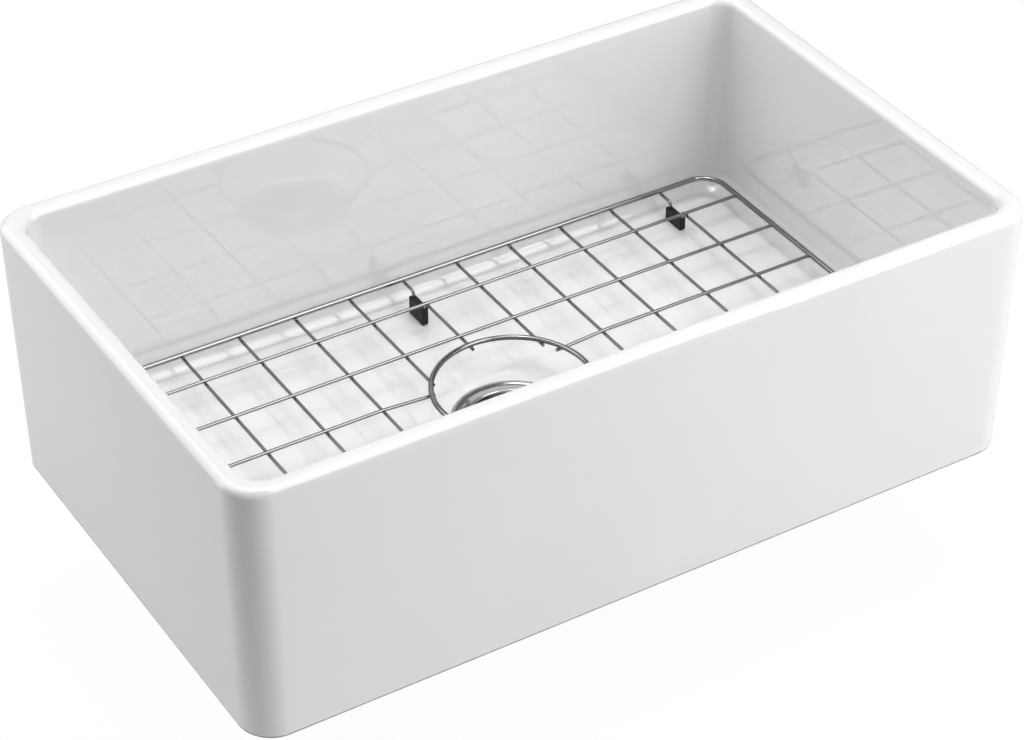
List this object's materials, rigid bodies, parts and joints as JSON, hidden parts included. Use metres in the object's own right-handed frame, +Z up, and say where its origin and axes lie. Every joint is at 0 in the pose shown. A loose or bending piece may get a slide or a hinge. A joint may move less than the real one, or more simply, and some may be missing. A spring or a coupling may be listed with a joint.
{
  "type": "farmhouse apron front sink",
  "caption": "Rectangular white single-bowl farmhouse sink with a plain apron front, a lift-out wire bottom grid on rubber feet and a basket strainer drain.",
  "frame": {"origin": "on the drain's axis at the level of the basin's flat underside", "axes": "+X along the sink, +Y from the apron front to the back wall, +Z up out of the bowl"},
  "size_m": [0.7618, 0.4568, 0.4002],
  "materials": {
    "white_glaze": "gloss white glaze",
    "satin_steel": "spun satin stainless steel",
    "basket_steel": "pressed satin stainless steel",
    "grid_wire": "electropolished stainless wire",
    "foot_rubber": "moulded black rubber",
    "black_seal": "black seal rubber",
    "putty": "pale sealing compound",
    "fibre": "pressed fibre",
    "nut_metal": "plain die-cast metal",
    "bright_chrome": "polished chrome plate"
  },
  "bodies": {
    "sink": {"basin": "white_glaze", "coupling_nut": "bright_chrome", "friction_ring": "fibre", "lock_nut": "nut_metal", "putty_ring": "putty", "strainer_body": "satin_steel", "strainer_neck": "satin_steel", "tailpiece": "bright_chrome", "tailpiece_washer": "black_seal", "under_gasket": "black_seal"},
    "grid": {"cross_wire_1": "grid_wire", "cross_wire_10": "grid_wire", "cross_wire_11": "grid_wire", "cross_wire_2": "grid_wire", "cross_wire_3": "grid_wire", "cross_wire_4": "grid_wire", "cross_wire_5_back": "grid_wire", "cross_wire_5_front": "grid_wire", "cross_wire_6_back": "grid_wire", "cross_wire_6_front": "grid_wire", "cross_wire_7_back": "grid_wire", "cross_wire_7_front": "grid_wire", "cross_wire_8": "grid_wire", "cross_wire_9": "grid_wire", "grid_foot_back_left": "foot_rubber", "grid_foot_back_middle": "foot_rubber", "grid_foot_back_right": "foot_rubber", "grid_foot_front_left": "foot_rubber", "grid_foot_front_middle": "foot_rubber", "grid_foot_front_right": "foot_rubber", "grid_frame": "grid_wire", "grid_ring": "grid_wire", "long_wire_1": "grid_wire", "long_wire_2": "grid_wire", "long_wire_3_left": "grid_wire", "long_wire_3_right": "grid_wire", "long_wire_4_left": "grid_wire", "long_wire_4_right": "grid_wire", "long_wire_5": "grid_wire", "long_wire_6": "grid_wire"},
    "basket": {"basket_post": "basket_steel", "basket_knob": "basket_steel", "basket_stopper": "black_seal", "basket_clip": "basket_steel"},
    "basket_cup": {"basket_cup": "basket_steel"}
  },
  "joints": [
    {"name": "grid_lift", "type": "slide", "parent": "sink", "child": "grid", "axis": [0, 0, 1], "range_m": [0, 0.3]},
    {"name": "basket_lift", "type": "slide", "parent": "sink", "child": "basket", "axis": [0, 0, 1], "range_m": [0, 0.34]},
    {"name": "basket_turn", "type": "hinge", "parent": "basket", "child": "basket_cup", "pos_m": [0, 0, 0.01], "axis": [0, 0, 1], "continuous": true}
  ]
}
